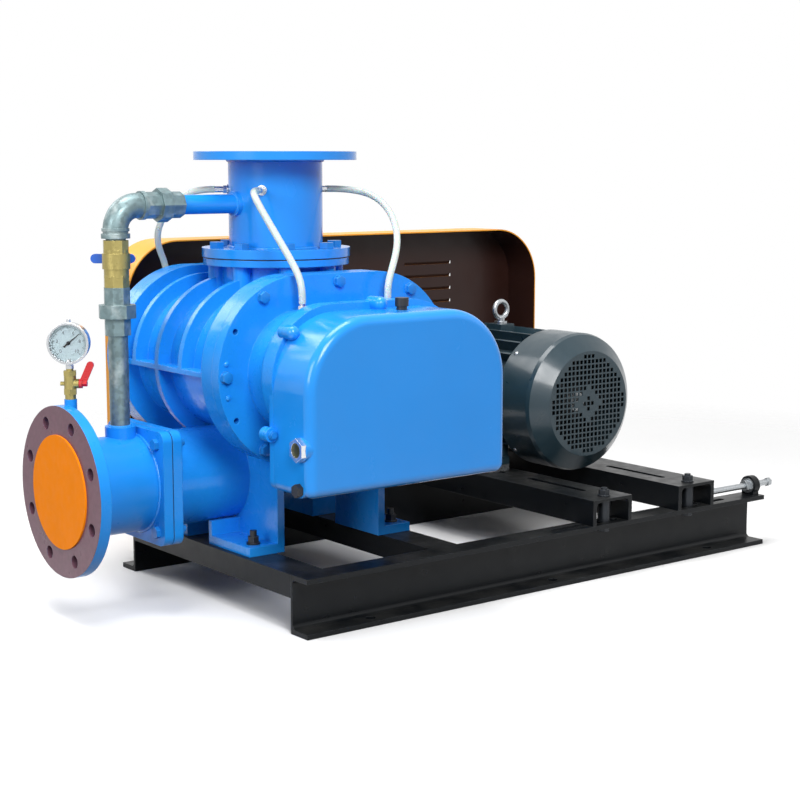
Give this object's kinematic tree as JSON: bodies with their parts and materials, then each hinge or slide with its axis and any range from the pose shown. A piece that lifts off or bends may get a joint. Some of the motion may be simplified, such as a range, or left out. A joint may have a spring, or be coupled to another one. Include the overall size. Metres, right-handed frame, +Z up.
{
  "type": "roots vacuum pump",
  "caption": "Belt-driven lobe vacuum pump on a channel base with a sliding motor, flanged inlet and discharge, bypass valve line and belt guard.",
  "frame": {"origin": "on the floor, at the centre of the anchor holes", "axes": "+X from the pump to the motor, +Y from the gear cover to the belt guard, +Z up"},
  "size_m": [1.4242, 0.733, 0.783],
  "materials": {
    "frame_paint": "gloss black paint on rolled steel channel",
    "blue_paint": "gloss blue machinery paint on cast iron and steel",
    "guard_paint": "gloss orange-yellow paint on sheet steel",
    "motor_paint": "satin dark blue-grey paint",
    "handle_paint": "gloss blue enamel",
    "lever_paint": "gloss red enamel",
    "needle_paint": "matt black enamel",
    "blued_steel": "dark blued steel screws",
    "zinc_steel": "zinc-plated steel",
    "bright_steel": "machined steel",
    "galvanized_iron": "galvanized malleable iron",
    "brass_fittings": "dull machined brass",
    "aluminium_ring": "machined aluminium",
    "sight_glass": "clear glass with oil behind",
    "gauge_glass": "clear glass",
    "black_plastic": "matt black moulded plastic",
    "orange_plastic": "satin orange moulded plastic",
    "clear_hose": "translucent soft tube",
    "gasket_rubber": "compressed rubber sheet",
    "belt_rubber": "fabric-wrapped rubber",
    "stator_iron": "laminated iron with windings",
    "pulley_iron": "machined cast iron",
    "rotor_iron": "machined cast iron"
  },
  "bodies": {
    "skid": {"base_channel_front": "frame_paint", "base_channel_rear": "frame_paint", "cross_members": "frame_paint", "tension_nuts": "zinc_steel", "blower_casing": "blue_paint", "gear_end_plate": "blue_paint", "drive_end_plate": "blue_paint", "drive_end_cover": "blue_paint", "gear_cover": "blue_paint", "sight_glass_ring": "aluminium_ring", "sight_glass_lens": "sight_glass", "oil_plugs": "black_plastic", "plate_screws": "blue_paint", "cover_screws": "blue_paint", "foot_bolts": "blued_steel", "inlet_spool": "blue_paint", "port_gaskets": "gasket_rubber", "inlet_bolts": "blue_paint", "discharge_spool": "blue_paint", "discharge_bolts": "blue_paint", "discharge_cap": "orange_plastic", "bearing_outer_rings": "bright_steel", "shaft_seals": "gasket_rubber", "bypass_unions": "galvanized_iron", "bypass_elbow": "galvanized_iron", "bypass_valve_body": "brass_fittings", "bypass_riser": "galvanized_iron", "gauge_cock": "brass_fittings", "gauge_case": "bright_steel", "gauge_window": "gauge_glass", "hose_fittings": "bright_steel", "hose_front_left": "clear_hose", "hose_front_right": "clear_hose", "hose_rear_left": "clear_hose", "belt_guard": "guard_paint", "drive_belts": "belt_rubber"},
    "bypass_valve_handle": {"bypass_valve_handle": "handle_paint"},
    "gauge_cock_lever": {"gauge_cock_lever": "lever_paint"},
    "gauge_needle": {"gauge_needle": "needle_paint"},
    "motor_carriage": {"motor_rail_left": "frame_paint", "motor_rail_right": "frame_paint", "rail_clamps": "blued_steel", "tension_rods": "zinc_steel", "motor_frame": "motor_paint", "motor_end_shields": "motor_paint", "motor_fan_cover": "motor_paint", "motor_terminal_box": "motor_paint", "motor_mount_bolts": "zinc_steel", "motor_eye_bolt": "zinc_steel", "motor_stator": "stator_iron"},
    "motor_rotor": {"motor_rotor": "bright_steel", "motor_fan": "black_plastic", "motor_pulley": "pulley_iron"},
    "drive_rotor": {"drive_rotor": "rotor_iron", "drive_gear": "bright_steel", "blower_pulley": "pulley_iron", "drive_bearings": "bright_steel"},
    "driven_rotor": {"driven_rotor": "rotor_iron", "driven_gear": "bright_steel", "driven_bearings": "bright_steel"}
  },
  "joints": [
    {"name": "drive_rotor_spin", "type": "hinge", "parent": "skid", "child": "drive_rotor", "pos_m": [-0.297, 0.044, 0.415], "axis": [0, 1, 0], "continuous": true},
    {"name": "driven_rotor_spin", "type": "hinge", "parent": "skid", "child": "driven_rotor", "pos_m": [-0.457, 0.044, 0.415], "axis": [0, 1, 0], "continuous": true},
    {"name": "motor_slide", "type": "slide", "parent": "skid", "child": "motor_carriage", "axis": [1, 0, 0], "range_m": [-0.025, 0.025], "deforming": ["drive_belts"]},
    {"name": "motor_rotor_spin", "type": "hinge", "parent": "motor_carriage", "child": "motor_rotor", "pos_m": [0.2435, 0, 0.293], "axis": [0, 1, 0], "continuous": true},
    {"name": "bypass_valve_turn", "type": "hinge", "parent": "skid", "child": "bypass_valve_handle", "pos_m": [-0.698, 0.044, 0.602], "axis": [0.6157, 0.788, 0], "range_deg": [0, 90]},
    {"name": "gauge_cock_turn", "type": "hinge", "parent": "skid", "child": "gauge_cock_lever", "pos_m": [-0.789, 0.044, 0.4], "axis": [0.7912, -0.6115, 0], "range_deg": [0, 90]},
    {"name": "gauge_needle_turn", "type": "hinge", "parent": "skid", "child": "gauge_needle", "pos_m": [-0.789, 0.044, 0.468], "axis": [-0.6115, -0.7912, 0], "range_deg": [-175, 95]}
  ],
  "couplings": [
    {"joint": "driven_rotor_spin", "follows": "drive_rotor_spin", "ratio": -1},
    {"joint": "motor_rotor_spin", "follows": "drive_rotor_spin", "ratio": 1.2444}
  ]
}
